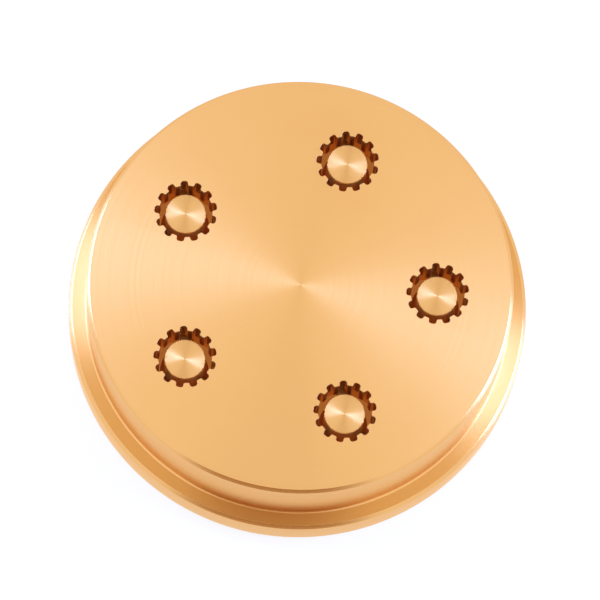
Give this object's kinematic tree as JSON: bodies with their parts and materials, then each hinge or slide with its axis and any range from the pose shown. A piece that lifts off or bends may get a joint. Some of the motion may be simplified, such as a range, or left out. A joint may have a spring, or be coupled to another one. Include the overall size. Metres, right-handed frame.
{
  "type": "pasta extrusion die",
  "caption": "Round turned bronze die with a clamping flange, a front boss and grooved openings round finned pins, for pressing ridged tube pasta.",
  "frame": {"origin": "centre of the rear face, where the dough enters and the die lies on the table", "axes": "+Z along the die's axis to the front face, +X through the first opening"},
  "size_m": [0.059, 0.059, 0.0153],
  "materials": {
    "turned_bronze": "turned, fine circular tool marks",
    "pin_bronze": "turned, fine circular tool marks"
  },
  "bodies": {
    "root": {"die_body": "turned_bronze", "forming_pin_1": "pin_bronze", "forming_pin_2": "pin_bronze", "forming_pin_3": "pin_bronze", "forming_pin_4": "pin_bronze", "forming_pin_5": "pin_bronze"}
  },
  "joints": []
}
